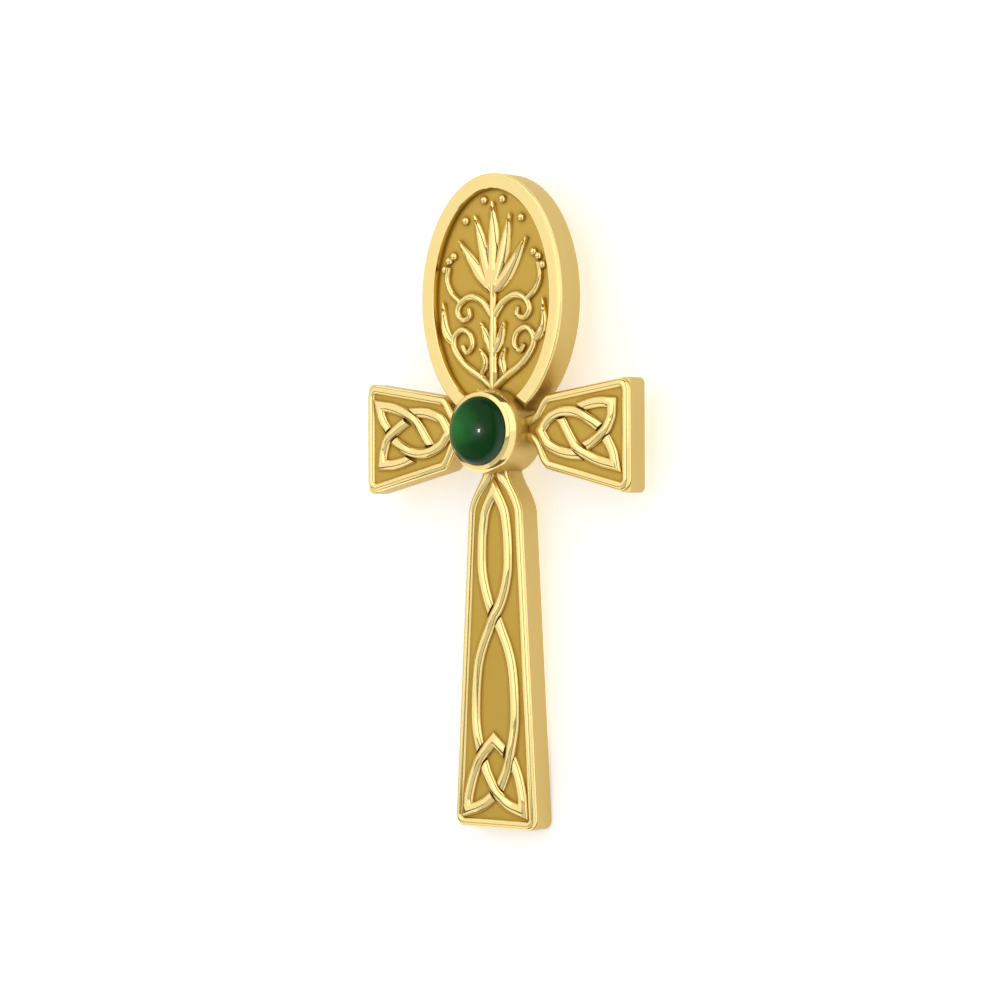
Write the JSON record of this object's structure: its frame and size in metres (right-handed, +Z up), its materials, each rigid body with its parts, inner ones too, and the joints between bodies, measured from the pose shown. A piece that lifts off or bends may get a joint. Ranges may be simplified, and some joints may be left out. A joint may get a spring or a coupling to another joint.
{
  "type": "ankh pendant",
  "caption": "Cast ankh pendant with a closed oval loop in lotus relief, knotwork arms and stem, a round green cabochon in a collar and a rear bail.",
  "frame": {"origin": "centre of the bounding box at its lowest level, as the pendant lies on its back", "axes": "+Z up, through the decorated face; +Y along the pendant, from the stem's end to the loop; +X to the right as one looks at the face"},
  "size_m": [0.0246, 0.0484, 0.0065],
  "materials": {
    "metal": "polished yellow gold with a satin field",
    "stone": "polished opaque dark green stone, a cabochon"
  },
  "bodies": {
    "root": {"ankh_body": "metal", "cabochon": "stone", "rear_bail": "metal"}
  },
  "joints": []
}
